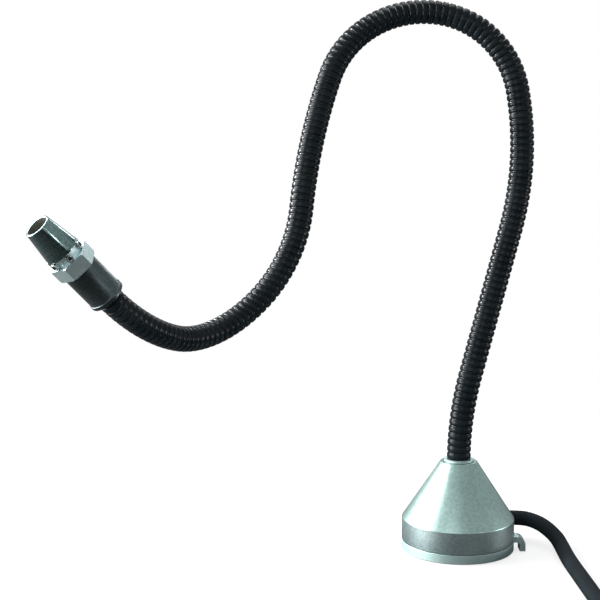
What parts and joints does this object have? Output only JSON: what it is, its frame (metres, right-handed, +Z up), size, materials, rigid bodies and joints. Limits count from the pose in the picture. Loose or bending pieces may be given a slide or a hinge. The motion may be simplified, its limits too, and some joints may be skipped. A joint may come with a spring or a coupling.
{
  "type": "solder fume extractor",
  "caption": "Bench fume extractor: weighted turned base, stay-put bendable arm, clamped tapered nozzle and exhaust hose.",
  "frame": {"origin": "centre of the foot pad's underside, on the bench", "axes": "+Z up, +X towards the fixing strap, -X towards the nozzle, -Y towards the viewer of the picture"},
  "size_m": [0.7385, 0.428, 0.582],
  "materials": {
    "base_plate": "satin",
    "foot_pad": "matte",
    "body_gasket": "matte",
    "base_body": "satin",
    "body_screws": "satin",
    "ballast": "matte",
    "ballast_screws": "satin",
    "neck_bush": "matte",
    "swivel_ferrule": "satin",
    "neck_seal": "satin",
    "retaining_clip": "satin",
    "duct_elbow": "matte",
    "outlet_grommet": "matte",
    "fixing_strap": "satin",
    "strap_screws": "satin",
    "gooseneck": "satin",
    "nozzle_sleeve": "satin",
    "sleeve_screws": "satin",
    "clamp_collar": "satin",
    "clamp_screws": "polished",
    "nozzle": "polished",
    "nozzle_seal": "satin",
    "exhaust_hose": "satin",
    "hose_connector": "satin",
    "coil_tie": "matte"
  },
  "bodies": {
    "base": {"base_plate": "base_plate", "foot_pad": "foot_pad", "body_gasket": "body_gasket", "base_body": "base_body", "body_screws": "body_screws", "ballast": "ballast", "ballast_screws": "ballast_screws", "neck_bush": "neck_bush", "duct_elbow": "duct_elbow", "outlet_grommet": "outlet_grommet", "fixing_strap": "fixing_strap", "strap_screws": "strap_screws", "exhaust_hose": "exhaust_hose", "exhaust_hose_coil": "exhaust_hose", "exhaust_hose_end": "exhaust_hose", "hose_connector": "hose_connector", "coil_tie": "coil_tie"},
    "arm_1": {"swivel_ferrule": "swivel_ferrule", "neck_seal": "neck_seal", "retaining_clip": "retaining_clip", "gooseneck_1": "gooseneck"},
    "arm_2": {"gooseneck_2": "gooseneck"},
    "arm_3": {"gooseneck_3": "gooseneck"},
    "arm_4": {"gooseneck_4": "gooseneck"},
    "arm_5": {"gooseneck_5": "gooseneck"},
    "arm_6": {"gooseneck_6": "gooseneck"},
    "arm_7": {"gooseneck_7": "gooseneck"},
    "arm_8": {"gooseneck_8": "gooseneck"},
    "arm_9": {"gooseneck_9": "gooseneck", "nozzle_sleeve": "nozzle_sleeve", "sleeve_screws": "sleeve_screws", "clamp_collar": "clamp_collar", "clamp_screws": "clamp_screws"},
    "nozzle": {"nozzle": "nozzle", "nozzle_seal": "nozzle_seal"}
  },
  "joints": [
    {"name": "arm_swivel", "type": "hinge", "parent": "base", "child": "arm_1", "pos_m": [0, 0, 0.096], "axis": [0, 0, 1], "continuous": true},
    {"name": "bend_1", "type": "hinge", "parent": "arm_1", "child": "arm_2", "pos_m": [0.01214, 0.00701, 0.18853], "axis": [-0.0212, 0.9878, -0.1545], "range_deg": [-25, 25]},
    {"name": "bend_2", "type": "hinge", "parent": "arm_2", "child": "arm_3", "pos_m": [0.05496, 0.03173, 0.3407], "axis": [0.9633, -0.0212, -0.2676], "range_deg": [-25, 25]},
    {"name": "bend_3", "type": "hinge", "parent": "arm_3", "child": "arm_4", "pos_m": [0.06282, 0.05486, 0.48749], "axis": [0.0212, -0.9878, 0.1545], "range_deg": [-25, 25]},
    {"name": "bend_4", "type": "hinge", "parent": "arm_4", "child": "arm_5", "pos_m": [-0.02556, 0.06576, 0.56929], "axis": [-0.0212, 0.9878, -0.1545], "range_deg": [-25, 25]},
    {"name": "bend_5", "type": "hinge", "parent": "arm_5", "child": "arm_6", "pos_m": [-0.1378, 0.03796, 0.50092], "axis": [-0.9282, -0.0979, 0.359], "range_deg": [-25, 25]},
    {"name": "bend_6", "type": "hinge", "parent": "arm_6", "child": "arm_7", "pos_m": [-0.16789, -0.00481, 0.36601], "axis": [0.1977, -0.9488, 0.2461], "range_deg": [-25, 25]},
    {"name": "bend_7", "type": "hinge", "parent": "arm_7", "child": "arm_8", "pos_m": [-0.21292, -0.03518, 0.27267], "axis": [-0.7046, 0.0178, 0.7094], "range_deg": [-25, 25]},
    {"name": "bend_8", "type": "hinge", "parent": "arm_8", "child": "arm_9", "pos_m": [-0.28801, -0.10191, 0.24502], "axis": [-0.8085, 0.4011, -0.4307], "range_deg": [-25, 25]},
    {"name": "nozzle_turn", "type": "hinge", "parent": "arm_9", "child": "nozzle", "pos_m": [-0.38288, -0.19274, 0.33852], "axis": [-0.5782, -0.4049, 0.7083], "continuous": true}
  ]
}
